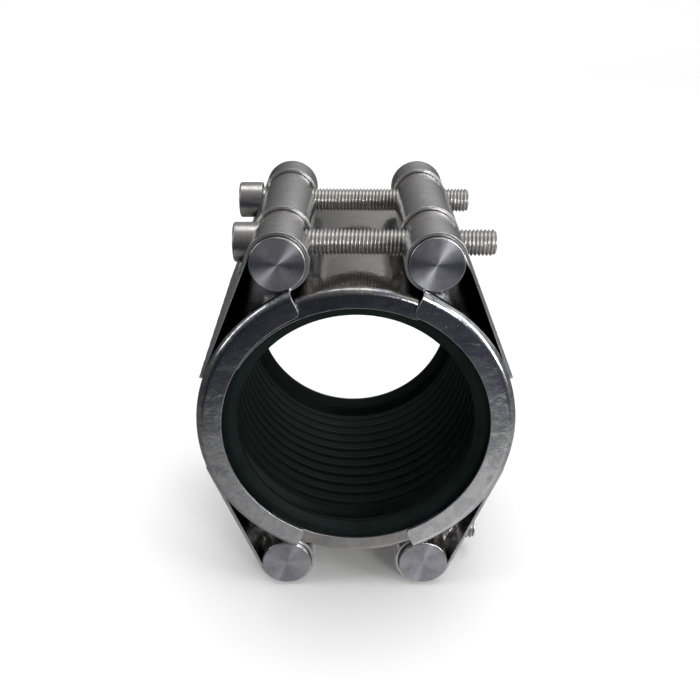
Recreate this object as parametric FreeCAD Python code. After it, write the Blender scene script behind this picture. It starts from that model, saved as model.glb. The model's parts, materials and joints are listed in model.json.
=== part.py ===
"""Pipe coupling: two pressed stainless half shells round a rubber sleeve.

Units are millimetres. The pipe axis is Y and Z is up. The origin is the middle of the bore.
Each half shell ends, above and below, in a loop folded round a lock bar. Two cap screws
pass through the left bar of a lock and thread into its right bar. A loose curved plate
bridges the gap between the halves at each lock.
"""
import FreeCAD, Part
import math
import os

V = FreeCAD.Vector
AXIS_X = V(1, 0, 0)
AXIS_Y = V(0, 1, 0)
CENTRE = V(0, 0, 0)

# Casing
SHEET = 1.5                 # gauge of every pressed sheet part
SHELL_R = 73.0              # outside radius of the casing
HALF_WIDTH = 68.0           # from mid-plane to the outer face of an end flange
CORNER_R = 4.0              # outside bend radius between casing wall and flange
FLANGE_IN_R = 61.2          # inner edge of the shell flanges
TAB_CORNER_R = 2.5          # rounded inner corner where a flange ends at a gap

# Lock bars and the loops folded round them
BAR_R = 12.0
BAR_X = 33.8                # distance of a bar's axis from the middle plane
BAR_HALF_LENGTH = 64.6
BAR_CHAMFER = 0.5
LOOP_CLEARANCE = 0.25       # between bar and loop
LOOP_HALF_WIDTH = 62.2      # the loops and bars stop short of the end flanges
TAIL_LENGTH = 5.0           # end of a loop that lies on the casing, spot-welded
WINDOW_WIDTH = 20.0         # window in a loop for one screw
WINDOW_GAP_FLOOR_Z = 68.7   # on the side that faces the gap
WINDOW_STRAP_FLOOR_Z = 64.0  # on the strap side, lower, so that a swinging half clears the screw
WINDOW_STEP_X = 6.0         # from the bar's axis to where the floor drops
WINDOW_CORNER_R = 2.5

# Screws: M12 cap screws
SCREW_Y = 34.2              # distance of a screw from the mid-plane
SCREW_R = 6.0
SCREW_LENGTH = 106.0        # under the head
REAR_BACKED_OFF = 4.2       # the rear top screw stands this far out of its seat
HEAD_R = 9.0
HEAD_LENGTH = 12.0
HEAD_CHAMFER = 1.0
TIP_CHAMFER = 1.0
SOCKET_FLATS = 10.0         # hex socket across flats
SOCKET_DEPTH = 6.0
THREAD_PITCH = 1.75
THREAD_ROOT_R = 5.07
THREAD_START = 10.0         # plain shank under the head
CLEARANCE_HOLE_R = 6.75
THREADED_HOLE_R = 6.1
SEAT_DEPTH = 2.6            # how far a spot-face is cut into the bar
SEAT_R = 9.6

# Bridge plates
PLATE_SIDE_GAP = 0.3        # between a plate's flange and the shell flange in front of it
TOP_PLATE_R = 70.6
TOP_PLATE_DROP = 2.5        # its centre lies below the bore axis, so it clears the shells
TOP_PLATE_FLANGE_R = 61.7
TOP_WING_LEFT = 60.0        # degrees from the top
TOP_WING_RIGHT = 26.0
BOTTOM_PLATE_R = 70.0
BOTTOM_PLATE_FLANGE_R = 61.8
BOTTOM_WING = 42.0
PLATE_CORNER_R = 3.0

# Rubber sleeve
SLEEVE_GAP = 0.3            # between the sleeve and the flanges and top plate
SLEEVE_R = BOTTOM_PLATE_R - SHEET
SLEEVE_CHAMFER = 2.0        # round both ends, inside the bends of the plates
LIP_R = 54.5                # free bore over the two end lips
LIP_CREST = 2.0             # cylindrical crest of a lip
LIP_SLOPE = 2.0             # from the end face to the crest
LIP_MOUTH_R = 58.5
LIP_ROOT_R = 57.6
LIP_ROOT_SLOPE = 5.0        # from the crest back to the lip's root
GROOVE_R = 61.5
GROOVE_SLOPE = 3.0
GROOVE_FLOOR = 3.0
LAND_R = 58.2
RIB_R = 57.4
RIB_COUNT = 11
RIB_PITCH = 8.4
RIB_FOOT = 1.6              # half widths of a rib at its foot and crest
RIB_CREST = 0.5

MID_R = SHELL_R - SHEET / 2
LOOP_MID_R = BAR_R + LOOP_CLEARANCE + SHEET / 2
BAR_Z = math.sqrt((MID_R + LOOP_MID_R) ** 2 - BAR_X ** 2)
GAP_ANGLE = math.degrees(math.atan2(BAR_Z, BAR_X))
HEAD_FACE_X = -BAR_X - BAR_R + SEAT_DEPTH
SCREW_ROWS = (("front", -SCREW_Y), ("rear", SCREW_Y))
TOP = 1
BOTTOM = -1


def polar(radius, degrees, centre=CENTRE):
    """A point in the XZ plane, measured anticlockwise from +X with -Y towards the viewer."""
    angle = math.radians(degrees)
    return centre + V(radius * math.cos(angle), 0, radius * math.sin(angle))


def arc(radius, start, end, centre=CENTRE):
    """An arc in the XZ plane through its middle point."""
    middle = polar(radius, (start + end) / 2, centre)
    return Part.Arc(polar(radius, start, centre), middle, polar(radius, end, centre)).toShape()


def line(start, end):
    return Part.LineSegment(start, end).toShape()


def slab(edges, low_y, high_y):
    """Extrude a closed XZ outline from low_y to high_y."""
    outline = Part.Wire(Part.__sortEdges__(edges))
    outline.translate(V(0, low_y, 0))
    return Part.Face(outline).extrude(V(0, high_y - low_y, 0))


def disc_on_y(radius, low_y, high_y, centre=CENTRE):
    return Part.makeCylinder(radius, high_y - low_y, centre + V(0, low_y, 0), AXIS_Y)


def rod_on_x(radius, low_x, high_x, y, z):
    return Part.makeCylinder(radius, high_x - low_x, V(low_x, y, z), AXIS_X)


def revolve_profile(points, start, end):
    """Turn a closed polygon of (radius, y) points about Y, from start to end degrees."""
    corners = [V(radius, y, 0) for radius, y in points]
    face = Part.Face(Part.makePolygon(corners + corners[:1]))
    face.rotate(CENTRE, AXIS_Y, -start)
    return face.revolve(CENTRE, AXIS_Y, -(end - start))


def channel(outer_r, flange_r, half_width, corner_r, start, end):
    """A pressed channel bent round the Y axis: a wall with two inward flanges."""
    inner_r = outer_r - SHEET
    outside = [(flange_r, -half_width), (outer_r, -half_width),
               (outer_r, half_width), (flange_r, half_width)]
    inside = [(flange_r - 1, -half_width + SHEET), (inner_r, -half_width + SHEET),
              (inner_r, half_width - SHEET), (flange_r - 1, half_width - SHEET)]
    body = revolve_profile(outside, start, end)
    body = body.makeFillet(corner_r, corner_edges(body, outer_r, half_width))
    core = revolve_profile(inside, start - 1, end + 1)
    core = core.makeFillet(corner_r - SHEET, corner_edges(core, inner_r, half_width - SHEET))
    return body.cut(core)


def corner_edges(body, radius, half_width):
    """The two round edges at the given radius and distance from the mid-plane."""
    found = []
    for edge in body.Edges:
        if not isinstance(edge.Curve, Part.Circle):
            continue
        at_end = abs(abs(edge.Curve.Center.y) - half_width) < 0.01
        if at_end and abs(edge.Curve.Radius - radius) < 0.01:
            found.append(edge)
    return found


def rims(body):
    """The full circles of a plain cylinder."""
    return [edge for edge in body.Edges if isinstance(edge.Curve, Part.Circle)]


def round_flange_ends(body, radius, flange_r):
    """Round the flange corners that face the gap and the bore."""
    edges = []
    for edge in body.Edges:
        if isinstance(edge.Curve, Part.Line) and abs(edge.Length - SHEET) < 0.01:
            place = edge.CenterOfMass
            on_edge = abs(math.hypot(place.x, place.z) - flange_r) < 0.01
            if on_edge and abs(edge.tangentAt(edge.FirstParameter).y) > 0.99:
                edges.append(edge)
    return body.makeFillet(radius, edges)


def bar_centre(side, level):
    return V(side * BAR_X, 0, level * BAR_Z)


def loop():
    """The upper right loop: off the casing, round the bar, and straight back to the casing."""
    centre = bar_centre(1, TOP)
    inner_r = BAR_R + LOOP_CLEARANCE
    outer_r = inner_r + SHEET
    foot = GAP_ANGLE + 180
    lean = math.degrees(math.acos((SHELL_R + SHEET / 2 - LOOP_MID_R) / centre.Length))
    normal = GAP_ANGLE - lean
    tail = normal - math.degrees(TAIL_LENGTH / SHELL_R)
    edges = [
        line(polar(inner_r, foot, centre), polar(outer_r, foot, centre)),
        arc(outer_r, foot, normal, centre),
        line(polar(outer_r, normal, centre), polar(SHELL_R + SHEET, normal)),
        arc(SHELL_R + SHEET, normal, tail),
        line(polar(SHELL_R + SHEET, tail), polar(SHELL_R, tail)),
        arc(SHELL_R, tail, normal),
        line(polar(SHELL_R, normal), polar(inner_r, normal, centre)),
        arc(inner_r, normal, foot, centre),
    ]
    strap = slab(edges, -LOOP_HALF_WIDTH, LOOP_HALF_WIDTH)
    for _, y in SCREW_ROWS:
        strap = strap.cut(window(y))
    return strap


def window(y):
    """A cutter for the window round one screw: its floor drops a step on the strap side."""
    step_x = BAR_X + WINDOW_STEP_X
    gap_side = window_block(y, BAR_X - 2 * BAR_R, step_x, WINDOW_GAP_FLOOR_Z)
    strap_side = window_block(y, step_x, BAR_X + 2 * BAR_R, WINDOW_STRAP_FLOOR_Z)
    return gap_side.fuse(strap_side)


def window_block(y, low_x, high_x, floor_z):
    """A tall block with rounded corners along its floor."""
    height = BAR_Z + 2 * BAR_R - floor_z
    block = Part.makeBox(high_x - low_x, WINDOW_WIDTH, height,
                         V(low_x, y - WINDOW_WIDTH / 2, floor_z))
    floor_corners = []
    for edge in block.Edges:
        along_x = abs(edge.tangentAt(edge.FirstParameter).x) > 0.99
        if along_x and abs(edge.CenterOfMass.z - floor_z) < 0.01:
            floor_corners.append(edge)
    return block.makeFillet(WINDOW_CORNER_R, floor_corners)


def right_shell():
    body = channel(SHELL_R, FLANGE_IN_R, HALF_WIDTH, CORNER_R, -GAP_ANGLE, GAP_ANGLE)
    body = round_flange_ends(body, TAB_CORNER_R, FLANGE_IN_R)
    upper = loop()
    lower = upper.mirror(CENTRE, V(0, 0, 1))
    return body.fuse([upper, lower]).removeSplitter()


def left_shell():
    return right_shell().mirror(CENTRE, AXIS_X)


def lock_bar(side, level):
    """A round bar with two cross holes. The left one has flat seats for the screw heads."""
    centre = bar_centre(side, level)
    bar = disc_on_y(BAR_R, -BAR_HALF_LENGTH, BAR_HALF_LENGTH, centre)
    bar = bar.makeChamfer(BAR_CHAMFER, rims(bar))
    for _, y in SCREW_ROWS:
        hole_r = CLEARANCE_HOLE_R if side < 0 else THREADED_HOLE_R
        low_x = centre.x - 2 * BAR_R
        bar = bar.cut(rod_on_x(hole_r, low_x, low_x + 4 * BAR_R, y, centre.z))
        if side < 0:
            bar = bar.cut(rod_on_x(SEAT_R, low_x, HEAD_FACE_X, y, centre.z))
    return bar


def hex_socket(face_x, y, z):
    corners = []
    for index in range(7):
        angle = math.radians(60 * index)
        radius = SOCKET_FLATS / math.sqrt(3)
        corners.append(V(face_x, y + radius * math.sin(angle), z + radius * math.cos(angle)))
    return Part.Face(Part.makePolygon(corners)).extrude(V(SOCKET_DEPTH, 0, 0))


def screw(face_x, y, z):
    """A socket head cap screw along +X, its head's underside at face_x."""
    head_end = face_x - HEAD_LENGTH
    head = rod_on_x(HEAD_R, head_end, face_x, y, z)
    rim = [edge for edge in head.Edges if abs(edge.CenterOfMass.x - head_end) < 0.01]
    head = head.makeChamfer(HEAD_CHAMFER, rim)
    head = head.cut(hex_socket(head_end, y, z))
    return head.fuse(shank(face_x, y, z)).removeSplitter()


def shank(face_x, y, z):
    """The shank as one revolved outline: plain under the head, then one V for each turn."""
    tip = face_x + SCREW_LENGTH
    outline = [(face_x - 1, SCREW_R), (face_x + THREAD_START, SCREW_R)]
    turns = int((SCREW_LENGTH - THREAD_START - TIP_CHAMFER) / THREAD_PITCH)
    for turn in range(turns):
        crest_x = face_x + THREAD_START + turn * THREAD_PITCH
        outline.append((crest_x + THREAD_PITCH / 2, THREAD_ROOT_R))
        outline.append((crest_x + THREAD_PITCH, SCREW_R))
    outline.append((tip, SCREW_R - TIP_CHAMFER))
    corners = [V(face_x - 1, y, z)]
    corners += [V(x, y, z + radius) for x, radius in outline]
    corners += [V(tip, y, z), corners[0]]
    return Part.Face(Part.makePolygon(corners)).revolve(V(0, y, z), AXIS_X, 360)


def top_bridge_plate():
    half_width = HALF_WIDTH - SHEET - PLATE_SIDE_GAP
    plate = channel(TOP_PLATE_R, TOP_PLATE_FLANGE_R, half_width, PLATE_CORNER_R,
                    90 - TOP_WING_RIGHT, 90 + TOP_WING_LEFT)
    plate.translate(V(0, 0, -TOP_PLATE_DROP))
    return plate


def bottom_bridge_plate():
    half_width = HALF_WIDTH - SHEET - PLATE_SIDE_GAP
    return channel(BOTTOM_PLATE_R, BOTTOM_PLATE_FLANGE_R, half_width, PLATE_CORNER_R,
                   270 - BOTTOM_WING, 270 + BOTTOM_WING)


def sealing_sleeve():
    """A rubber tube with a lip at each end, a groove behind each lip and ribs between."""
    half_width = HALF_WIDTH - 2 * SHEET - PLATE_SIDE_GAP - SLEEVE_GAP
    crest = half_width - LIP_SLOPE
    root = crest - LIP_CREST - LIP_ROOT_SLOPE
    floor = root - GROOVE_SLOPE
    half_profile = [(LIP_MOUTH_R, half_width), (LIP_R, crest), (LIP_R, crest - LIP_CREST),
                    (LIP_ROOT_R, root), (GROOVE_R, floor), (GROOVE_R, floor - GROOVE_FLOOR),
                    (LAND_R, floor - GROOVE_FLOOR - GROOVE_SLOPE)]
    ribs = []
    for index in range(RIB_COUNT):
        middle = RIB_PITCH * ((RIB_COUNT - 1) / 2 - index)
        ribs += [(LAND_R, middle + RIB_FOOT), (RIB_R, middle + RIB_CREST),
                 (RIB_R, middle - RIB_CREST), (LAND_R, middle - RIB_FOOT)]
    far_side = [(radius, -y) for radius, y in reversed(half_profile)]
    near_end = [(SLEEVE_R, half_width - SLEEVE_CHAMFER), (SLEEVE_R - SLEEVE_CHAMFER, half_width)]
    far_end = [(radius, -y) for radius, y in reversed(near_end)]
    tube = revolve_profile(near_end + half_profile + ribs + far_side + far_end, 0, 360)
    under_plate = disc_on_y(TOP_PLATE_R - SHEET - SLEEVE_GAP, -half_width, half_width,
                            V(0, 0, -TOP_PLATE_DROP))
    return tube.common(under_plate.makeChamfer(SLEEVE_CHAMFER, rims(under_plate)))


def write(node, shape):
    shape.exportStep("parts/" + node + ".step")
    print(node, "solids", len(shape.Solids), "valid", shape.isValid(), "mm3", round(shape.Volume))


os.makedirs("parts", exist_ok=True)
write("left_shell", left_shell())
write("right_shell", right_shell())
write("top_bridge_plate", top_bridge_plate())
write("bottom_bridge_plate", bottom_bridge_plate())
write("sealing_sleeve", sealing_sleeve())
for level_name, level in (("upper", TOP), ("lower", BOTTOM)):
    for side_name, side in (("left", -1), ("right", 1)):
        write(level_name + "_" + side_name + "_lock_bar", lock_bar(side, level))
for level_name, level in (("top", TOP), ("bottom", BOTTOM)):
    for row_name, y in SCREW_ROWS:
        backed_off = REAR_BACKED_OFF if (level_name, row_name) == ("top", "rear") else 0
        write(level_name + "_screw_" + row_name, screw(HEAD_FACE_X - backed_off, y, level * BAR_Z))
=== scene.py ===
import json
import math

import bmesh
import bpy
from mathutils import Matrix, Vector


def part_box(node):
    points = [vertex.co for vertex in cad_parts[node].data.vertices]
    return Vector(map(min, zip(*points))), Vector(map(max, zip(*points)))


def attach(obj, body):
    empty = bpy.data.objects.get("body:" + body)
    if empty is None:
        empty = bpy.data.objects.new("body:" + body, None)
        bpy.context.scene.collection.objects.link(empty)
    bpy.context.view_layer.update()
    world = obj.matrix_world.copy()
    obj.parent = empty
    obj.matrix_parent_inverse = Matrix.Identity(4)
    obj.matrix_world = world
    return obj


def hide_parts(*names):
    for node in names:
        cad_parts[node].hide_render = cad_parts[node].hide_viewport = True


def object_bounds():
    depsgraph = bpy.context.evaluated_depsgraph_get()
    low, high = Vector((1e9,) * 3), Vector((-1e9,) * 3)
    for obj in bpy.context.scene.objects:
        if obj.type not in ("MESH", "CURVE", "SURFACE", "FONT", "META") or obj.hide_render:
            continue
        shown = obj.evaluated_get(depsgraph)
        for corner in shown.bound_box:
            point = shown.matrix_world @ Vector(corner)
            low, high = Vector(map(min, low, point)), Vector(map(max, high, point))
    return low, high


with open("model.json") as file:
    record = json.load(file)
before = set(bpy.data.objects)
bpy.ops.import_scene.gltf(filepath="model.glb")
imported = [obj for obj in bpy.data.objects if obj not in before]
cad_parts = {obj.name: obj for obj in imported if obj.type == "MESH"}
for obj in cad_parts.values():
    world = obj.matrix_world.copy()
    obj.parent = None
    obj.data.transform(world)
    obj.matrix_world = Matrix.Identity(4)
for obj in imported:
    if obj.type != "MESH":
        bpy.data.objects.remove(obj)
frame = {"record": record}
cad_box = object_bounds()

# ---------------------------------------------------------------- sizes, in millimetres
# The meshes are drawn in millimetres, as the part is designed, and scaled to metres once.
MM = 0.001


def box_mm(node):
    low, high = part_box(node)
    return low / MM, high / MM


def middle_mm(node):
    low, high = box_mm(node)
    return (low + high) / 2


SHEET = 1.5
EDGE_R = 0.22                       # burr-free rounding along a sheared sheet edge
SHELL_R = box_mm("right_shell")[1].x
HALF_WIDTH = box_mm("right_shell")[1].y
CORNER_R = 4.0
FLANGE_IN_R = 61.2
TAB_CORNER_R = 2.5
STEP_CORNER_R = 0.6                 # where a shell's tab meets its loop
TAIL_CORNER_R = 1.5
LOOP_CLEARANCE = 0.25
LOOP_HALF_WIDTH = 62.2
TAIL_LENGTH = 5.0
WINDOW_HALF_WIDTH = 10.0
WINDOW_GAP_FLOOR_Z = 68.7
WINDOW_STRAP_FLOOR_Z = 64.0
WINDOW_CORNER_R = 2.5
WELD_PITCH = 13.4
WELD_ROWS = ((2.2, 9), (-8.0, 8))   # distance past the tail's start, number of spots
WELD_FORM = ((2.3, -0.05), (2.1, 0.06), (1.7, 0.10), (1.3, 0.04), (0.6, 0.02))

PLATE_CORNER_R = 3.0                # both the bend and the corners of the blank
TOP_PLATE_R = 70.6
TOP_PLATE_FLANGE_R = 61.7
TOP_PLATE_DROP = 2.5
TOP_PLATE_SPAN = (64.0, 150.0)      # degrees round the pipe from +X
BOTTOM_PLATE_R = 70.0
BOTTOM_PLATE_FLANGE_R = 61.8
BOTTOM_PLATE_SPAN = (228.0, 312.0)

BAR_CENTRE = middle_mm("upper_right_lock_bar")
BAR_R = (box_mm("upper_right_lock_bar")[1].x - box_mm("upper_right_lock_bar")[0].x) / 2
BAR_HALF_LENGTH = box_mm("upper_right_lock_bar")[1].y
BAR_CHAMFER = 0.5
BAR_SOFTENING = 0.04                # takes the sharpness off the chamfer's outer corner
CLEARANCE_HOLE_R = 6.75
TAPPED_HOLE_R = 6.05
SEAT_R = 9.6
SEAT_DEPTH = 2.6

SCREW_R = 6.0
HEAD_R = 9.0
HEAD_LENGTH = 12.0
HEAD_RIM_R = 1.1
HEAD_CHAMFER = 0.3
SHANK_FILLET = 0.6
SOCKET_FLATS = 10.0
SOCKET_DEPTH = 6.0
SOCKET_RIM = 0.4
THREAD_PITCH = 1.75
THREAD_ROOT_R = 5.07
THREAD_DEPTH = SCREW_R - THREAD_ROOT_R
THREAD_START = 10.0
SCREW_Y = middle_mm("top_screw_rear").y
SCREW_SIDES = 48

SLEEVE_R = 66.2
LIP_R = 54.55
LIP_BACK_R = 57.6
GROOVE_R = 61.5
LAND_R = 58.2
RIB_R = 57.6
RIB_PITCH = 8.4
RIB_COUNT = 11

MID_R = SHELL_R - SHEET / 2
LOOP_MID_R = BAR_R + LOOP_CLEARANCE + SHEET / 2
GAP_ANGLE = math.atan2(BAR_CENTRE.z, BAR_CENTRE.x)
SAME_POINT = 1e-4                   # points nearer than this are joined
SLIVER = 1e-5
SHELL_STEP = math.radians(1.6)      # the turn between scored lines round the pipe
LOOP_STEP = math.radians(5)         # and round a bar


# ---------------------------------------------------------------- mesh helpers
def rounded(points, radii, steps=5):
    """A closed outline with corner i replaced by an arc of radii[i]."""
    result = []
    count = len(points)
    for index, corner in enumerate(points):
        here = Vector(corner)
        before = Vector(points[index - 1]) - here
        after = Vector(points[(index + 1) % count]) - here
        if radii[index] <= 0:
            result.append(here)
            continue
        half = before.angle(after) / 2
        reach = min(radii[index] / math.tan(half), 0.49 * before.length, 0.49 * after.length)
        radius = reach * math.tan(half)
        toward = (before.normalized() + after.normalized()).normalized()
        centre = here + toward * (radius / math.sin(half))
        first = here + before.normalized() * reach - centre
        last = here + after.normalized() * reach - centre
        turn = first.angle_signed(last)
        for step in range(steps + 1):
            angle = -turn * step / steps
            spin = Matrix.Rotation(angle, 2)
            result.append(centre + spin @ first)
    return result


def linked_object(name, bm, materials):
    """Make a smooth-shaded object of a bmesh and put it in the scene."""
    mesh = bpy.data.meshes.new(name)
    bm.to_mesh(mesh)
    bm.free()
    for material in materials:
        mesh.materials.append(material)
    for polygon in mesh.polygons:
        polygon.use_smooth = True
    piece = bpy.data.objects.new(name, mesh)
    bpy.context.scene.collection.objects.link(piece)
    return piece


def mesh_object(name, bm, materials):
    """Clean a millimetre bmesh, scale it to metres and make an object of it."""
    bmesh.ops.remove_doubles(bm, verts=bm.verts, dist=SAME_POINT)
    bmesh.ops.dissolve_degenerate(bm, edges=bm.edges, dist=SLIVER)
    bmesh.ops.recalc_face_normals(bm, faces=bm.faces)
    bmesh.ops.scale(bm, vec=(MM, MM, MM), verts=bm.verts)
    return linked_object(name, bm, materials)


def weigh_normals(piece):
    """Let the large faces set the shading, so that small edge roundings stay crisp."""
    modifier = piece.modifiers.new("weighted", "WEIGHTED_NORMAL")
    modifier.mode = "FACE_AREA"
    modifier.weight = 60


def join_rings(bm, rings, closed_ends=(True, True)):
    """Skin a list of rings of points that all have the same count."""
    loops = [[bm.verts.new(point) for point in ring] for ring in rings]
    count = len(loops[0])
    for low, high in zip(loops, loops[1:]):
        for index in range(count):
            following = (index + 1) % count
            bm.faces.new((low[index], low[following], high[following], high[index]))
    for loop, closed in ((loops[0], closed_ends[0]), (loops[-1], closed_ends[1])):
        if closed:
            bm.faces.new(loop)


def polar(radius, angle):
    return Vector((radius * math.cos(angle), 0, radius * math.sin(angle)))


def circle_x(radius, x, sides=SCREW_SIDES):
    """A ring of points round the X axis."""
    ring = []
    for index in range(sides):
        angle = 2 * math.pi * index / sides
        ring.append(Vector((x, radius * math.sin(angle), radius * math.cos(angle))))
    return ring


def hexagon_x(flats, x, sides=SCREW_SIDES):
    """A hexagon across the given flats, with the same number of points as circle_x."""
    ring = []
    for index in range(sides):
        angle = 2 * math.pi * index / sides
        within = (angle + math.pi / 6) % (math.pi / 3) - math.pi / 6
        radius = flats / 2 / math.cos(within)
        ring.append(Vector((x, radius * math.sin(angle + math.pi / 6),
                            radius * math.cos(angle + math.pi / 6))))
    return ring


def body_of(node):
    for body, members in frame["record"]["behaviour"]["bodies"].items():
        if node in members:
            return body
    raise ValueError(node)


def install(piece, node):
    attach(piece, body_of(node))
    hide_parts(node)
    return piece


# ---------------------------------------------------------------- materials
class Nodes:
    """Short calls for the nodes that the materials and the world share."""

    def __init__(self, tree):
        self.tree = tree

    def node(self, kind, **settings):
        made = self.tree.nodes.new(kind)
        for key, value in settings.items():
            setattr(made, key, value)
        return made

    def link(self, output, target):
        self.tree.links.new(output, target)

    def split(self, vector):
        """The X, Y and Z of a vector."""
        apart = self.node("ShaderNodeSeparateXYZ")
        self.link(vector, apart.inputs["Vector"])
        return apart.outputs

    def spread(self, value, low, high, out_low=0.0, out_high=1.0, interpolation="LINEAR"):
        """Map the range from low to high onto the range from out_low to out_high."""
        ranged = self.node("ShaderNodeMapRange", interpolation_type=interpolation)
        for socket, number in (("From Min", low), ("From Max", high),
                               ("To Min", out_low), ("To Max", out_high)):
            ranged.inputs[socket].default_value = number
        self.link(value, ranged.inputs["Value"])
        return ranged.outputs["Result"]

    def combine(self, operation, first, second):
        maths = self.node("ShaderNodeMath", operation=operation)
        for socket, value in zip(maths.inputs, (first, second)):
            if isinstance(value, (int, float)):
                socket.default_value = value
            else:
                self.link(value, socket)
        return maths.outputs[0]

    def blend(self, factor, first, second):
        mix = self.node("ShaderNodeMix", data_type="RGBA")
        self.link(factor, mix.inputs["Factor"])
        for socket, colour in ((mix.inputs[6], first), (mix.inputs[7], second)):
            if isinstance(colour, tuple):
                socket.default_value = (*colour, 1.0)
            else:
                self.link(colour, socket)
        return mix.outputs[2]


class Shader(Nodes):
    """A small builder for one principled material and its procedural textures."""

    def __init__(self, name, **constants):
        self.material = bpy.data.materials.new(name)
        self.material.use_nodes = True
        super().__init__(self.material.node_tree)
        self.principled = self.tree.nodes["Principled BSDF"]
        for socket, value in constants.items():
            self.principled.inputs[socket.replace("_", " ")].default_value = value
        self.coords = self.tree.nodes.new("ShaderNodeTexCoord").outputs["Object"]

    def scaled(self, scale):
        mapping = self.node("ShaderNodeMapping")
        mapping.inputs["Scale"].default_value = scale
        self.link(self.coords, mapping.inputs["Vector"])
        return mapping.outputs["Vector"]

    def noise(self, size, detail=4.0, rough=0.55, stretch=(1, 1, 1), distortion=0.0):
        """Noise whose features are about size metres across, stretched by factor along axes."""
        texture = self.node("ShaderNodeTexNoise")
        texture.inputs["Scale"].default_value = 1.0
        texture.inputs["Detail"].default_value = detail
        texture.inputs["Roughness"].default_value = rough
        texture.inputs["Distortion"].default_value = distortion
        scale = tuple(1.0 / (size * factor) for factor in stretch)
        self.link(self.scaled(scale), texture.inputs["Vector"])
        return texture.outputs["Fac"]

    def scratches(self, size, stretch, threshold):
        """Sparse thin lines: the crests of a noise drawn out along one axis."""
        lines = self.noise(size, detail=2.0, rough=0.5, stretch=stretch)
        return self.spread(lines, threshold, threshold + 0.03)

    def bump(self, height, distance, strength=1.0, after=None):
        bumped = self.node("ShaderNodeBump")
        bumped.inputs["Distance"].default_value = distance
        bumped.inputs["Strength"].default_value = strength
        self.link(height, bumped.inputs["Height"])
        if after is not None:
            self.link(after, bumped.inputs["Normal"])
        return bumped.outputs["Normal"]

    def radial_tangent(self):
        """Round the Y axis, which is the axis of the bore and of the bars."""
        tangent = self.node("ShaderNodeTangent", direction_type="RADIAL", axis="Y")
        return tangent.outputs["Tangent"]

    def finish(self, colour=None, roughness=None, normal=None, tangent=None):
        sockets = self.principled.inputs
        for value, name in ((colour, "Base Color"), (roughness, "Roughness"),
                            (normal, "Normal"), (tangent, "Tangent")):
            if value is not None:
                self.link(value, sockets[name])
        return self.material


def stain_and_shade_share(shader):
    """How strongly the stains and specks show: most on the upper end flanges, little on the rest. The
    extra dark stain high up is painted shade.
    """
    place = shader.split(shader.coords)
    from_middle = shader.combine("ABSOLUTE", place["Y"], 0.0)
    on_flange = shader.spread(from_middle, 0.058, 0.066, 0.22, 1.0)
    # painted shade: the higher a point of the sheet, the more dark stain it gets
    upper = shader.spread(place["Z"], -0.03, 0.04, 0.3, 1.0)
    return shader.combine("MULTIPLY", on_flange, upper)


def stains_wear_and_shade(shader):
    """Dark cloudy stains, and pale rubbed specks where the sheet is free of them, both weighted
    towards the upper end flanges, where the darker stain is partly painted shade.
    """
    stain_and_shade_weight = stain_and_shade_share(shader)
    clouds = shader.noise(0.007, detail=8.0, rough=0.68, distortion=1.0)
    spots = shader.noise(0.0020, detail=6.0, rough=0.7, distortion=0.5)
    stains = shader.combine("MULTIPLY", shader.spread(clouds, 0.44, 0.56),
                            shader.spread(spots, 0.38, 0.60, 0.45, 1.0))
    specks = shader.spread(shader.noise(0.0011, detail=6.0, rough=0.75), 0.58, 0.70)
    worn = shader.combine("MULTIPLY", specks, shader.spread(clouds, 0.40, 0.56, 1.0, 0.1))
    return shader.combine("MULTIPLY", stains, stain_and_shade_weight), shader.combine("MULTIPLY", worn, stain_and_shade_weight)


def sheet_relief(shader, marks, waviness):
    """The sheet's slight dents and ripples, its rolling grain and its scratches."""
    dents = shader.noise(0.016, detail=2.0, rough=0.4)
    ripples = shader.noise(0.0045, detail=3.0, rough=0.6)
    grain = shader.noise(0.0006, detail=2.0, rough=0.5, stretch=(1, 6, 1))
    normal = shader.bump(dents, waviness)
    normal = shader.bump(ripples, waviness / 3, after=normal)
    normal = shader.bump(grain, 0.000006, 0.6, after=normal)
    return shader.bump(marks, 0.00002, 0.5, after=normal)


def polished_sheet(name, light, dark, rough_low, rough_high, waviness):
    """Rolled stainless sheet: stained patches, heavier on the upper end flanges as painted shade,
    fine grain, hairline scratches, slight dents.
    """
    shader = Shader(name, Metallic=1.0, Anisotropic=0.3)
    stains, worn = stains_wear_and_shade(shader)
    # painted shade over real stains: the dark stain colour is strongest on the upper end flanges
    colour = shader.blend(stains, light, dark)
    colour = shader.blend(shader.combine("MULTIPLY", worn, 0.6), colour, (0.86, 0.87, 0.90))
    marks = shader.combine("MAXIMUM", shader.scratches(0.0022, (1, 14, 1), 0.70),
                           shader.scratches(0.0026, (11, 1, 2), 0.71))
    rough = shader.spread(stains, 0.0, 1.0, rough_low, rough_high)
    rough = shader.combine("ADD", rough, shader.combine("MULTIPLY", marks, 0.12))
    rough = shader.combine("ADD", rough, shader.combine("MULTIPLY", worn, 0.30))
    relief = sheet_relief(shader, marks, waviness)
    return shader.finish(colour, rough, relief, shader.radial_tangent())


def sheared_edge(name):
    """The cut edge of a sheet: soft streaks along it, brighter than the faces."""
    shader = Shader(name, Metallic=1.0)
    streaks = shader.noise(0.003, detail=4.0, rough=0.6)
    colour = shader.blend(shader.spread(streaks, 0.35, 0.68), (0.80, 0.80, 0.81), (0.60, 0.60, 0.61))
    rough = shader.spread(streaks, 0.3, 0.7, 0.26, 0.38)
    return shader.finish(colour, rough, shader.bump(streaks, 0.00004, 0.5))


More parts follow.
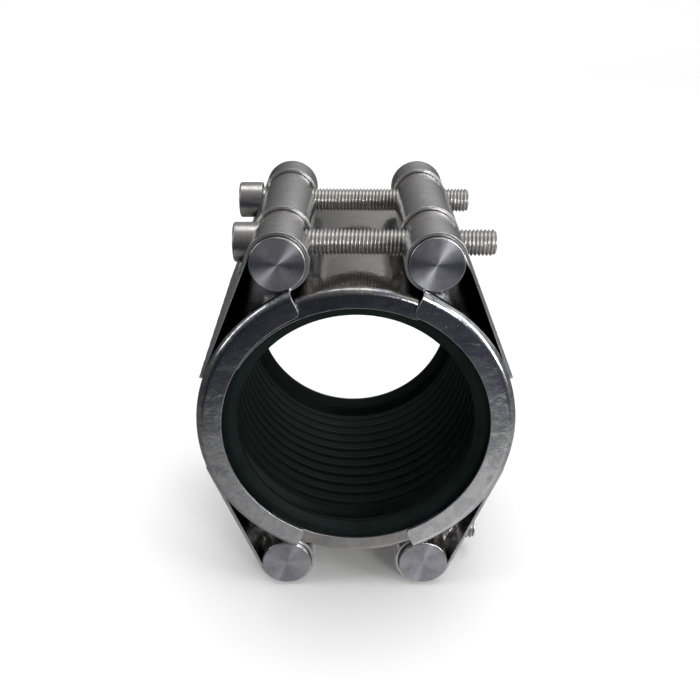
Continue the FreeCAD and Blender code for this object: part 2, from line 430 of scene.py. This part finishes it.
def turned_face(name):
    """A faced bar end: concentric tool marks about the bar's axis, with a few scuffs."""
    shader = Shader(name, Metallic=1.0, Anisotropic=0.88, Anisotropic_Rotation=0.25)
    generated = shader.node("ShaderNodeTexCoord").outputs["Generated"]
    mapping = shader.node("ShaderNodeMapping")
    mapping.inputs["Location"].default_value = (-0.5, 0.0, -0.5)
    mapping.inputs["Scale"].default_value = (1.0, 0.0, 1.0)
    shader.link(generated, mapping.inputs["Vector"])
    rings = shader.node("ShaderNodeTexWave", wave_type="RINGS", rings_direction="SPHERICAL")
    rings.inputs["Scale"].default_value = 22.0
    rings.inputs["Distortion"].default_value = 0.6
    rings.inputs["Detail"].default_value = 3.0
    rings.inputs["Detail Scale"].default_value = 6.0
    shader.link(mapping.outputs["Vector"], rings.inputs["Vector"])
    clouds = shader.noise(0.005, detail=6.0, rough=0.7)
    smudge = shader.spread(clouds, 0.46, 0.68)
    marks = shader.scratches(0.0015, (1, 1, 8), 0.72)
    colour = shader.blend(smudge, (0.58, 0.575, 0.62), (0.44, 0.435, 0.48))
    ringed = shader.spread(rings.outputs["Fac"], 0.0, 1.0, 0.28, 0.36)
    rough = shader.combine("ADD", ringed, shader.combine("MULTIPLY", marks, 0.1))
    normal = shader.bump(rings.outputs["Fac"], 0.000014, 0.6)
    normal = shader.bump(marks, 0.00002, 0.5, after=normal)
    return shader.finish(colour, rough, normal, shader.radial_tangent())


def turned_side(name):
    """The drawn and polished side of a bar, with circular tool marks and handling smudges."""
    shader = Shader(name, Metallic=1.0, Anisotropic=0.4, Anisotropic_Rotation=0.25)
    clouds = shader.noise(0.009, detail=6.0, rough=0.65, distortion=0.8)
    grime = shader.spread(clouds, 0.40, 0.66)
    rings = shader.noise(0.0005, detail=2.0, rough=0.5, stretch=(60, 1, 60))
    marks = shader.scratches(0.002, (8, 1, 8), 0.70)
    colour = shader.blend(grime, (0.66, 0.65, 0.63), (0.46, 0.45, 0.43))
    rough = shader.combine("ADD", shader.spread(grime, 0.0, 1.0, 0.24, 0.36),
                           shader.combine("MULTIPLY", marks, 0.1))
    normal = shader.bump(rings, 0.000008, 0.6)
    normal = shader.bump(shader.noise(0.012, detail=1.0), 0.00010, 0.5, after=normal)
    return shader.finish(colour, rough, normal, shader.radial_tangent())


def screw_head(name):
    """Cold-headed stainless: satin, a little darker, with fine random scuffs."""
    shader = Shader(name, Metallic=1.0)
    clouds = shader.noise(0.005, detail=6.0, rough=0.62)
    colour = shader.blend(shader.spread(clouds, 0.35, 0.68), (0.66, 0.65, 0.64), (0.42, 0.41, 0.40))
    marks = shader.scratches(0.0012, (1, 6, 1), 0.70)
    rough = shader.combine("ADD", shader.spread(clouds, 0.35, 0.68, 0.24, 0.36),
                           shader.combine("MULTIPLY", marks, 0.1))
    normal = shader.bump(shader.noise(0.0007, detail=3.0), 0.00002, 0.5)
    return shader.finish(colour, rough, normal)


def screw_thread(name):
    """Rolled thread: bright crests, and the roots darkened by the depth attribute, partly oil and
    dirt and partly painted shade.
    """
    shader = Shader(name, Metallic=1.0)
    depth = shader.node("ShaderNodeAttribute", attribute_name="depth").outputs["Fac"]
    clouds = shader.noise(0.003, detail=5.0, rough=0.6)
    # painted shade with some dirt: the deeper a point lies in the thread, the darker it is painted
    root_shade_and_dirt = shader.combine("MULTIPLY", shader.spread(depth, 0.30, 1.0),
                          shader.spread(clouds, 0.2, 0.7, 0.6, 1.0))
    colour = shader.blend(root_shade_and_dirt, (0.95, 0.93, 0.90), (0.20, 0.19, 0.18))
    rough = shader.spread(root_shade_and_dirt, 0.0, 1.0, 0.26, 0.5)
    normal = shader.bump(shader.noise(0.0005, detail=3.0), 0.00002, 0.5)
    return shader.finish(colour, rough, normal)


def black_rubber(name):
    """Moulded EPDM: near black, faintly green, satin skin with fine pores and dust."""
    shader = Shader(name, Metallic=0.0, Specular_IOR_Level=0.10)
    clouds = shader.noise(0.02, detail=5.0, rough=0.6)
    dust = shader.scratches(0.0009, (1, 1, 1), 0.74)
    bloom = shader.spread(clouds, 0.35, 0.70)
    colour = shader.blend(bloom, (0.0028, 0.0062, 0.0048), (0.0052, 0.0100, 0.0090))
    colour = shader.blend(shader.combine("MULTIPLY", dust, 0.15), colour, (0.12, 0.13, 0.13))
    rough = shader.spread(clouds, 0.3, 0.7, 0.40, 0.54)
    pores = shader.noise(0.0005, detail=3.0, rough=0.6)
    flow = shader.noise(0.004, detail=3.0, rough=0.5, stretch=(6, 1, 6))
    normal = shader.bump(pores, 0.00003, 0.5)
    normal = shader.bump(flow, 0.00010, 0.4, after=normal)
    return shader.finish(colour, rough, normal)


CASING = polished_sheet("casing_steel", (0.68, 0.68, 0.68), (0.24, 0.25, 0.32), 0.12, 0.24, 0.00026)
PLATE = polished_sheet("plate_steel", (0.44, 0.43, 0.41), (0.18, 0.19, 0.24), 0.14, 0.28, 0.00028)
EDGE = sheared_edge("sheared_edge_steel")
FACE = turned_face("turned_end_steel")
BAR = turned_side("bar_side_steel")
HEAD = screw_head("screw_head_steel")
THREAD = screw_thread("screw_thread_steel")
RUBBER = black_rubber("sleeve_rubber")


# ---------------------------------------------------------------- sheet metal
def blank_curve(name, outline, holes):
    """A filled flat curve as thick as the sheet, with its cut edges rounded."""
    curve = bpy.data.curves.new(name, "CURVE")
    curve.dimensions = "2D"
    curve.fill_mode = "BOTH"
    curve.extrude = SHEET / 2 - EDGE_R
    curve.bevel_depth = EDGE_R
    curve.bevel_resolution = 2
    curve.offset = -EDGE_R
    for points in [outline] + holes:
        spline = curve.splines.new("POLY")
        spline.points.add(len(points) - 1)
        for target, point in zip(spline.points, points):
            target.co = (point[0], point[1], 0.0, 1.0)
        spline.use_cyclic_u = True
    return curve


def taken_from_curve(name, curve):
    """The mesh that a curve makes, as a bmesh. The curve itself is removed."""
    shape = bpy.data.objects.new(name, curve)
    bpy.context.scene.collection.objects.link(shape)
    evaluated = shape.evaluated_get(bpy.context.evaluated_depsgraph_get())
    mesh = bpy.data.meshes.new_from_object(evaluated)
    bm = bmesh.new()
    bm.from_mesh(mesh)
    bpy.data.objects.remove(shape)
    bpy.data.curves.remove(curve)
    bpy.data.meshes.remove(mesh)
    return bm


def flat_blank(name, outline, holes):
    """A blank as a bmesh in (s, w, t), with material 0 on its faces and 1 on its cut edges."""
    bm = taken_from_curve(name, blank_curve(name, outline, holes))
    bmesh.ops.remove_doubles(bm, verts=bm.verts, dist=SAME_POINT)
    bm.normal_update()
    for face in bm.faces:
        face.material_index = 0 if abs(face.normal.z) > 0.99 else 1
    inner = [edge for edge in bm.edges
             if all(face.material_index == 0 for face in edge.link_faces)]
    bmesh.ops.dissolve_edges(bm, edges=inner, use_verts=False)
    return bm


def score(bm, axis, places):
    """Cut the blank across s or w at some places, so that it can be bent there."""
    direction = Vector((1, 0, 0)) if axis == "s" else Vector((0, 1, 0))
    for place in places:
        geometry = bm.verts[:] + bm.edges[:] + bm.faces[:]
        bmesh.ops.bisect_plane(bm, geom=geometry, plane_co=direction * place,
                               plane_no=direction, dist=SLIVER)


def channel_section(w, t, radius, half_width, corner_r):
    """(radius, y) of a blank's point once bent: flat wall, bend, then an inward flange."""
    wall = half_width - corner_r
    bend_r = corner_r - SHEET / 2
    bend_length = bend_r * math.pi / 2
    side = math.copysign(1, w)
    past = abs(w) - wall
    if past <= 0:
        return radius - SHEET / 2 + t, w
    if past < bend_length:
        angle = past / bend_r
        return (radius - corner_r + (bend_r + t) * math.cos(angle),
                side * (wall + (bend_r + t) * math.sin(angle)))
    return radius - corner_r - (past - bend_length), side * (half_width - SHEET / 2 + t)


def channel_half_blank(half_width, corner_r, radius, flange_r):
    """Half the developed width of a channel."""
    return half_width - corner_r + (corner_r - SHEET / 2) * math.pi / 2 + radius - corner_r - flange_r


def bend_lines(half_width, corner_r, steps=7):
    """The places across a channel's blank where both its bends are scored."""
    wall = half_width - corner_r
    bend = (corner_r - SHEET / 2) * math.pi / 2
    lines = []
    for step in range(steps + 1):
        lines += [wall + bend * step / steps, -wall - bend * step / steps]
    return lines


def evenly(low, high, step):
    """Equally spaced places from low to high, no further apart than step."""
    count = max(1, math.ceil((high - low) / step))
    return [low + (high - low) * index / count for index in range(count + 1)]


LOOP_START = MID_R * GAP_ANGLE
LEAN = math.acos((SHELL_R + SHEET / 2 - LOOP_MID_R) / math.hypot(BAR_CENTRE.x, BAR_CENTRE.z))
STRAP_ANGLE = GAP_ANGLE - LEAN
WRAP_LENGTH = LOOP_MID_R * (math.pi + LEAN)
STRAP_LENGTH = math.hypot(BAR_CENTRE.x, BAR_CENTRE.z) * math.sin(LEAN)
TAIL_START = LOOP_START + WRAP_LENGTH + STRAP_LENGTH
BLANK_END = TAIL_START + TAIL_LENGTH


def casing_point(s, w, t):
    """Bend a point of the casing blank: round the pipe, then round the bar and back."""
    level = math.copysign(1, s)
    along = abs(s)
    centre = Vector((BAR_CENTRE.x, 0, BAR_CENTRE.z))
    if along <= LOOP_START:
        radius, y = channel_section(w, t, SHELL_R, HALF_WIDTH, CORNER_R)
        place = polar(radius, along / MID_R)
    elif along <= LOOP_START + WRAP_LENGTH:
        turned = GAP_ANGLE + math.pi - (along - LOOP_START) / LOOP_MID_R
        place = centre + polar(LOOP_MID_R - t, turned)
        y = w
    elif along <= TAIL_START:
        run = along - LOOP_START - WRAP_LENGTH
        place = centre + polar(LOOP_MID_R - t, STRAP_ANGLE) + polar(run, STRAP_ANGLE - math.pi / 2)
        y = w
    else:
        angle = STRAP_ANGLE - (along - TAIL_START) / SHELL_R
        place = polar(SHELL_R + SHEET / 2 - t, angle)
        y = w
    return Vector((place.x, y, place.z * level))


def mirror_x(bm):
    for vert in bm.verts:
        vert.co.x = -vert.co.x


def casing_outline():
    """Half shell blank: a wide middle with flange edges and two narrower loop ends."""
    flange = channel_half_blank(HALF_WIDTH, CORNER_R, SHELL_R, FLANGE_IN_R)
    quarter = [((LOOP_START, flange), TAB_CORNER_R),
               ((LOOP_START, LOOP_HALF_WIDTH), STEP_CORNER_R),
               ((BLANK_END, LOOP_HALF_WIDTH), TAIL_CORNER_R)]
    corners = [(s, w, radius) for (s, w), radius in quarter]
    corners += [(s, -w, radius) for s, w, radius in reversed(corners)]
    corners += [(-s, w, radius) for s, w, radius in reversed(corners)]
    return rounded([(s, w) for s, w, _ in corners], [radius for _, _, radius in corners])


def window_outline(low_s, high_s, y):
    corners = [(low_s, y - WINDOW_HALF_WIDTH), (high_s, y - WINDOW_HALF_WIDTH),
               (high_s, y + WINDOW_HALF_WIDTH), (low_s, y + WINDOW_HALF_WIDTH)]
    return rounded(corners, [WINDOW_CORNER_R] * 4)


def casing_windows():
    """Four windows: two in each loop, from low on the gap side over the bar and down."""
    drop = BAR_CENTRE.z - WINDOW_GAP_FLOOR_Z
    low_s = LOOP_START + LOOP_MID_R * (GAP_ANGLE - math.asin(drop / LOOP_MID_R))
    strap_top = BAR_CENTRE.z + LOOP_MID_R * math.sin(STRAP_ANGLE) - WINDOW_STRAP_FLOOR_Z
    high_s = LOOP_START + WRAP_LENGTH + strap_top / math.cos(STRAP_ANGLE)
    windows = []
    for y in (-SCREW_Y, SCREW_Y):
        windows.append(window_outline(low_s, high_s, y))
        windows.append(window_outline(-high_s, -low_s, y))
    return windows


def casing_half(name, mirrored):
    """One half of the casing with its two loops, bent from a flat blank."""
    bm = flat_blank(name, casing_outline(), casing_windows())
    lines = evenly(0, LOOP_START, MID_R * SHELL_STEP)
    lines += evenly(LOOP_START, LOOP_START + WRAP_LENGTH, LOOP_MID_R * LOOP_STEP)
    lines += evenly(LOOP_START + WRAP_LENGTH, TAIL_START, 8.0)
    lines += evenly(TAIL_START, BLANK_END - 0.5, 1.5)
    score(bm, "s", sorted(set(lines + [-line for line in lines])))
    score(bm, "w", bend_lines(HALF_WIDTH, CORNER_R))
    for vert in bm.verts:
        vert.co = casing_point(vert.co.x, vert.co.y, vert.co.z)
    if mirrored:
        mirror_x(bm)
    piece = mesh_object(name, bm, [CASING, EDGE])
    weigh_normals(piece)
    return piece


def bridge_plate(name, node, radius, flange_r, drop, span):
    """A channel bent round the pipe over a span of degrees, its blank's corners rounded."""
    half_width = box_mm(node)[1].y
    mid_r = radius - SHEET / 2
    edge = channel_half_blank(half_width, PLATE_CORNER_R, radius, flange_r)
    low, high = (mid_r * math.radians(angle) for angle in span)
    corners = [(low, -edge), (high, -edge), (high, edge), (low, edge)]
    bm = flat_blank(name, rounded(corners, [PLATE_CORNER_R] * 4), [])
    score(bm, "s", evenly(low, high, mid_r * SHELL_STEP)[1:-1])
    score(bm, "w", bend_lines(half_width, PLATE_CORNER_R))
    for vert in bm.verts:
        r, y = channel_section(vert.co.y, vert.co.z, radius, half_width, PLATE_CORNER_R)
        place = polar(r, vert.co.x / mid_r)
        vert.co = Vector((place.x, y, place.z - drop))
    piece = mesh_object(name, bm, [PLATE, EDGE])
    weigh_normals(piece)
    return piece


# ---------------------------------------------------------------- turned parts
def bar_profile():
    """(radius, y) along a bar from one end face to the other."""
    half = [(BAR_R - BAR_CHAMFER, BAR_HALF_LENGTH),
            (BAR_R - BAR_SOFTENING, BAR_HALF_LENGTH - BAR_CHAMFER + BAR_SOFTENING),
            (BAR_R, BAR_HALF_LENGTH - BAR_CHAMFER - BAR_SOFTENING)]
    return [(radius, -y) for radius, y in half] + half[::-1]


def bar_mesh(name, node, holes_r, seated):
    """A round bar along Y with two cross holes, and flat seats on the head side."""
    centre = middle_mm(node)
    sides = 120
    rings = []
    for radius, y in bar_profile():
        ring = [polar(radius, 2 * math.pi * index / sides) for index in range(sides)]
        rings.append([centre + Vector((0, y, 0)) + point for point in ring])
    bm = bmesh.new()
    join_rings(bm, rings)
    piece = mesh_object(name, bm, [BAR, FACE])
    for polygon in piece.data.polygons:
        if abs(polygon.normal.y) > 0.99:
            polygon.material_index = 1
    for y in (-SCREW_Y, SCREW_Y):
        drill(piece, holes_r, centre, y, -2 * BAR_R, 2 * BAR_R)
        if seated:
            drill(piece, SEAT_R, centre, y, -2 * BAR_R, -BAR_R + SEAT_DEPTH)
    weigh_normals(piece)
    return piece


def drill(piece, radius, centre, y, low_x, high_x):
    """Cut a round hole along X through a piece."""
    axis = Vector((centre.x, y, centre.z))
    bm = bmesh.new()
    join_rings(bm, [[axis + point for point in circle_x(radius, x, 64)] for x in (low_x, high_x)])
    cutter = mesh_object("cutter", bm, [BAR])
    modifier = piece.modifiers.new("drill", "BOOLEAN")
    modifier.operation = "DIFFERENCE"
    modifier.solver = "EXACT"
    modifier.object = cutter
    evaluated = piece.evaluated_get(bpy.context.evaluated_depsgraph_get())
    drilled = bpy.data.meshes.new_from_object(evaluated)
    piece.modifiers.remove(modifier)
    piece.data = drilled
    bpy.data.objects.remove(cutter)


# ---------------------------------------------------------------- screws
def socket_rings(end):
    """The hex socket, from its pointed bottom to the chamfer round its mouth."""
    floor = end + SOCKET_DEPTH
    mouth_r = SOCKET_FLATS / math.sqrt(3)
    return [circle_x(0.4, floor + 1.6),
            hexagon_x(SOCKET_FLATS - 0.4, floor),
            hexagon_x(SOCKET_FLATS, floor - 0.3),
            hexagon_x(SOCKET_FLATS, end + 0.5),
            circle_x(mouth_r + 0.15, end + 0.05),
            circle_x(mouth_r + SOCKET_RIM, end)]


def head_rings(end):
    """The head, from its flat end over the rounded rim to the fillet under it."""
    under = end + HEAD_LENGTH
    rings = [circle_x(HEAD_R - 1.5, end)]
    steps = 6
    for step in range(steps + 1):
        angle = math.pi / 2 * step / steps
        rings.append(circle_x(HEAD_R - HEAD_RIM_R * (1 - math.sin(angle)),
                              end + HEAD_RIM_R * (1 - math.cos(angle))))
    rings.append(circle_x(HEAD_R, under - HEAD_CHAMFER))
    rings.append(circle_x(HEAD_R - HEAD_CHAMFER, under))
    rings.append(circle_x(SCREW_R + SHANK_FILLET, under))
    rings.append(circle_x(SCREW_R, under + SHANK_FILLET))
    return rings


def screw_mesh(name, node):
    """A socket head cap screw along +X with a true helical thread."""
    low, high = box_mm(node)
    centre = (low + high) / 2
    start = low.x + HEAD_LENGTH + THREAD_START
    bm = bmesh.new()
    depth = bm.verts.layers.float.new("depth")
    rings = socket_rings(low.x) + head_rings(low.x) + [circle_x(SCREW_R, start)]
    join_rings(bm, rings, (True, False))
    thread_skin(bm, depth, start, high.x)
    bmesh.ops.translate(bm, vec=Vector((0, centre.y, centre.z)), verts=bm.verts)
    piece = mesh_object(name, bm, [HEAD, THREAD])
    weigh_normals(piece)
    return piece


# one turn of the ISO profile: (share of the pitch, share of the depth)
THREAD_FORM = ((0.0, 0.0), (0.11, 0.0), (0.30, 0.55), (0.46, 1.0), (0.64, 1.0), (0.81, 0.55))


def thread_vertex(bm, depth, x, around, depth_share, start, tip):
    """A point of the thread, held between start and tip and tapered at both ends."""
    held = min(max(x, start), tip)
    fade = min(1.0, (held - start) / (1.5 * THREAD_PITCH))
    taper = THREAD_ROOT_R - 0.15 + 1.15 * (tip - held)
    radius = min(SCREW_R - THREAD_DEPTH * depth_share * fade, taper)
    angle = 2 * math.pi * around
    vert = bm.verts.new((held, radius * math.sin(angle), radius * math.cos(angle)))
    vert[depth] = depth_share * fade
    return vert


def thread_rows(bm, depth, start, tip):
    """Rows of points along the helix, from before the thread's start to past its tip."""
    rows = []
    for turn in range(-2, math.ceil((tip - start) / THREAD_PITCH) + 2):
        for share, depth_share in THREAD_FORM:
            row = []
            for index in range(SCREW_SIDES):
                around = index / SCREW_SIDES
                x = start + THREAD_PITCH * (turn + share + around)
                row.append(thread_vertex(bm, depth, x, around, depth_share, start, tip))
            rows.append(row)
    return rows


def thread_quads(rows):
    """Neighbouring points, four by four. A row's end meets the start of the row one turn on."""
    form = len(THREAD_FORM)
    for number, (row, above) in enumerate(zip(rows, rows[1:])):
        for index in range(SCREW_SIDES - 1):
            yield row[index], row[index + 1], above[index + 1], above[index]
        if number + form + 1 < len(rows):
            yield row[-1], rows[number + form][0], rows[number + form + 1][0], above[-1]


def thread_skin(bm, depth, start, tip):
    """Rows follow the helix, so crest and root lines stay crisp. It fades in at start."""
    for quad in thread_quads(thread_rows(bm, depth, start, tip)):
        reach = [vert.co.x for vert in quad]
        if max(reach) - min(reach) > 1e-6:
            bm.faces.new(quad).material_index = 1
    bmesh.ops.remove_doubles(bm, verts=bm.verts, dist=SAME_POINT)
    rim = [edge for edge in bm.edges if len(edge.link_faces) == 1
           and all(vert.co.x > tip - 1e-3 for vert in edge.verts)]
    filled = bmesh.ops.contextual_create(bm, geom=rim)
    for face in filled["faces"]:
        face.material_index = 1
    stray = [vert for vert in bm.verts if not vert.link_faces]
    bmesh.ops.delete(bm, geom=stray, context="VERTS")


# ---------------------------------------------------------------- rubber sleeve
def sleeve_profile():
    """The sleeve's whole cross-section: both lips, the ribs between them, and the outside."""
    half = box_mm("sealing_sleeve")[1].y
    crest = half - 2.0
    root = crest - 7.0
    floor = root - 3.0
    lip = [((58.5, half), 0.7), ((LIP_R, crest), 0.7), ((LIP_R, crest - 2.0), 0.8),
           ((LIP_BACK_R, root), 1.5), ((GROOVE_R, floor), 1.2), ((GROOVE_R, floor - 3.0), 1.2),
           ((LAND_R, floor - 6.0), 1.0)]
    ribs = []
    for index in range(RIB_COUNT):
        y = RIB_PITCH * ((RIB_COUNT - 1) / 2 - index)
        ribs += [((LAND_R, y + 1.9), 1.0), ((RIB_R, y + 0.45), 0.9),
                 ((RIB_R, y - 0.45), 0.9), ((LAND_R, y - 1.9), 1.0)]
    far = [((radius, -y), corner) for (radius, y), corner in reversed(lip)]
    outside = [((SLEEVE_R, -half), 0.8), ((SLEEVE_R, half), 0.8)]
    corners = lip + ribs + far + outside
    return rounded([point for point, _ in corners], [corner for _, corner in corners], 4)


def sleeve_mesh(name):
    sides = 180
    outline = sleeve_profile()
    bm = bmesh.new()
    rings = []
    for index in range(sides):
        angle = 2 * math.pi * index / sides
        rings.append([bm.verts.new(polar(point.x, angle) + Vector((0, point.y, 0)))
                      for point in outline])
    count = len(outline)
    for index in range(sides):
        here, following = rings[index], rings[(index + 1) % sides]
        for step in range(count):
            other = (step + 1) % count
            bm.faces.new((here[step], here[other], following[other], following[step]))
    return mesh_object(name, bm, [RUBBER])


# ---------------------------------------------------------------- spot welds
def weld_spots(name, mirrored, body):
    """Shallow pressed discs in two rows where each loop's tail is welded to the casing."""
    bm = bmesh.new()
    for level in (1, -1):
        for past, count in WELD_ROWS:
            for index in range(count):
                weld_spot(bm, level * (TAIL_START + past), (index - (count - 1) / 2) * WELD_PITCH)
    if mirrored:
        mirror_x(bm)
    piece = mesh_object(name, bm, [CASING])
    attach(piece, body)


def weld_spot(bm, s, y):
    """One dimple: a low raised ring with a sunken middle, lying on the outer face."""
    sides = 20
    rings = []
    for radius, height in WELD_FORM:
        ring = []
        for index in range(sides):
            angle = 2 * math.pi * index / sides
            ring.append(casing_point(s + radius * math.cos(angle), y + radius * math.sin(angle),
                                     -SHEET / 2 - height))
        rings.append(ring)
    join_rings(bm, rings)


# ---------------------------------------------------------------- assembly
install(casing_half("right_casing", False), "right_shell")
install(casing_half("left_casing", True), "left_shell")
weld_spots("right_weld_spots", False, "right_half")
weld_spots("left_weld_spots", True, "left_half")
install(bridge_plate("top_bridge", "top_bridge_plate", TOP_PLATE_R, TOP_PLATE_FLANGE_R,
                     TOP_PLATE_DROP, TOP_PLATE_SPAN), "top_bridge_plate")
install(bridge_plate("bottom_bridge", "bottom_bridge_plate", BOTTOM_PLATE_R,
                     BOTTOM_PLATE_FLANGE_R, 0.0, BOTTOM_PLATE_SPAN),
        "bottom_bridge_plate")
for side, hole_r in (("left", CLEARANCE_HOLE_R), ("right", TAPPED_HOLE_R)):
    for level in ("upper", "lower"):
        bar_node = f"{level}_{side}_lock_bar"
        bar = bar_mesh(f"{level}_{side}_bar", bar_node, hole_r, side == "left")
        install(bar, bar_node)
for level in ("top", "bottom"):
    for row in ("front", "rear"):
        screw_node = f"{level}_screw_{row}"
        install(screw_mesh(f"{level}_{row}_cap_screw", screw_node), screw_node)
install(sleeve_mesh("rubber_sleeve"), "sealing_sleeve")


# ---------------------------------------------------------------- studio, in metres
FLOOR_R = 1.7
SWEEP_R = 0.9
WALL_HEIGHT = 4.0

CAMERA_PLACE = (-0.00529, -0.41681, 0.20713)
CAMERA_YAW = math.radians(0.389)
CAMERA_PITCH = math.radians(25.533)
CAMERA_ROLL = math.radians(-0.264)
CAMERA_LENS = 45.71


def floor_material():
    shader = Shader("pale_floor", Roughness=0.6, Specular_IOR_Level=0.2)
    mottled = shader.noise(0.15, detail=4.0)
    colour = shader.blend(mottled, (0.88, 0.88, 0.88), (0.90, 0.90, 0.90))
    return shader.finish(colour)


def floor_profile():
    """(radius, height) from under the part, up the sweep and to the top of the wall."""
    profile = [(0.001, 0.0), (0.3, 0.0), (FLOOR_R, 0.0)]
    steps = 12
    for step in range(1, steps + 1):
        angle = math.pi / 2 * step / steps
        profile.append((FLOOR_R + SWEEP_R * math.sin(angle), SWEEP_R * (1 - math.cos(angle))))
    profile.append((FLOOR_R + SWEEP_R, WALL_HEIGHT))
    return profile


def build_floor():
    """A pale round sweep: flat under the part, and curving up to a wall all round."""
    base = cad_box[0][2]
    sides = 96
    angles = [2 * math.pi * index / sides for index in range(sides)]
    rings = []
    for radius, z in floor_profile():
        rings.append([Vector((radius * math.cos(a), radius * math.sin(a), base + z)) for a in angles])
    bm = bmesh.new()
    join_rings(bm, rings, (True, False))
    floor = linked_object("floor", bm, [floor_material()])
    floor.visible_glossy = False
    floor.visible_shadow = False


def area_light(name, place, target, width, height, radiance, shiny=True):
    """A soft box of the given brightness. One that isn't shiny makes no highlights."""
    data = bpy.data.lights.new(name, "AREA")
    data.shape = "RECTANGLE"
    data.size = width
    data.size_y = height
    data.energy = radiance * math.pi * width * height
    lamp = bpy.data.objects.new(name, data)
    lamp.location = place
    aim = Vector(target) - Vector(place)
    lamp.rotation_euler = aim.to_track_quat("-Z", "Y").to_euler()
    lamp.visible_glossy = shiny
    lamp.visible_camera = False
    bpy.context.scene.collection.objects.link(lamp)


# What the steel sees round it, as (height from -1 below to 1 above, grey, blueness)
FRONT_ROOM = ((-1.0, 0.60, 0.00), (-0.66, 0.48, 0.00), (-0.58, 0.46, 0.00), (-0.53, 0.45, 0.00),
              (-0.505, 0.30, 0.00), (-0.48, 0.06, 0.15), (-0.44, 0.045, 0.25), (-0.36, 0.04, 0.35),
              (-0.10, 0.05, 0.15), (0.35, 0.11, 0.03), (0.75, 0.28, 0.0), (1.0, 0.5, 0.0))
BACK_ROOM = ((-1.0, 0.50, 0.0), (-0.5, 0.20, 0.0), (-0.12, 0.08, 0.03), (0.08, 0.20, 0.0),
             (0.30, 0.42, 0.0), (0.50, 0.48, 0.0), (0.80, 0.50, 0.0), (1.0, 0.5, 0.0))
SIDE_PULL = 0.9                     # how far the light back of the room reaches round the sides


def room_ramp(nodes, height, stops):
    ramp = nodes.node("ShaderNodeValToRGB")
    ramp.color_ramp.interpolation = "B_SPLINE"
    elements = ramp.color_ramp.elements
    while len(elements) < len(stops):
        elements.new(0.5)
    for element, (level, grey, blue) in zip(elements, stops):
        element.position = (level + 1) / 2
        element.color = (grey * (1 - blue / 2), grey * (1 - blue / 4), grey * (1 + blue), 1.0)
    nodes.link(height, ramp.inputs["Fac"])
    return ramp.outputs["Color"]


def build_world():
    """A dim room: dark in front, lighter low down and behind, lightest above and to the right."""
    world = bpy.data.worlds.new("studio")
    bpy.context.scene.world = world
    world.use_nodes = True
    nodes = Nodes(world.node_tree)
    across, along, up = nodes.split(nodes.node("ShaderNodeTexCoord").outputs["Generated"])
    height = nodes.spread(up, -1.0, 1.0)
    aside = nodes.combine("MULTIPLY", nodes.combine("ABSOLUTE", across, 0.0), SIDE_PULL)
    behind = nodes.spread(nodes.combine("ADD", aside, along), -0.35, 0.35, interpolation="SMOOTHSTEP")
    colour = nodes.blend(behind, room_ramp(nodes, height, FRONT_ROOM),
                         room_ramp(nodes, height, BACK_ROOM))
    lighter_right = nodes.spread(across, -0.25, 0.30, 0.55, 1.35, interpolation="SMOOTHSTEP")
    background = world.node_tree.nodes["Background"]
    nodes.link(colour, background.inputs["Color"])
    nodes.link(lighter_right, background.inputs["Strength"])


def camera_rotation():
    """The camera's axes: it looks down on the front of the bore, and is turned slightly."""
    forward = Vector((math.sin(CAMERA_YAW) * math.cos(CAMERA_PITCH),
                      math.cos(CAMERA_YAW) * math.cos(CAMERA_PITCH), -math.sin(CAMERA_PITCH)))
    level_right = Vector((math.cos(CAMERA_YAW), -math.sin(CAMERA_YAW), 0))
    level_down = forward.cross(level_right)
    right = level_right * math.cos(CAMERA_ROLL) + level_down * math.sin(CAMERA_ROLL)
    down = level_down * math.cos(CAMERA_ROLL) - level_right * math.sin(CAMERA_ROLL)
    return Matrix((right, -down, -forward)).transposed().to_4x4()


def build_camera():
    data = bpy.data.cameras.new("camera")
    data.sensor_width = 36.0
    data.lens = CAMERA_LENS
    data.clip_start = 0.01
    camera = bpy.data.objects.new("camera", data)
    camera.matrix_world = Matrix.Translation(CAMERA_PLACE) @ camera_rotation()
    bpy.context.scene.collection.objects.link(camera)
    bpy.context.scene.camera = camera


build_floor()
build_world()
build_camera()
area_light("key", (0.50, -0.95, 0.34), (0, 0, 0.03), 0.30, 0.30, 12.0)
area_light("right_box", (0.95, -0.55, 0.25), (0, 0, 0), 0.35, 0.7, 5.0)
area_light("left_box", (-0.95, -0.25, 0.45), (0, 0, 0), 0.25, 0.6, 2.5)
area_light("overhead", (0.05, 0.15, 1.1), (0, 0, 0), 0.7, 0.5, 1.6)
area_light("floor_wash", (0.0, 0.3, 1.6), (0, 0.3, 0), 2.4, 2.0, 1.45, shiny=False)
area_light("wall_wash", (0.0, 0.9, 1.7), (0, 2.6, 0.4), 2.4, 0.8, 2.4, shiny=False)

bpy.context.scene.view_settings.view_transform = "Standard"
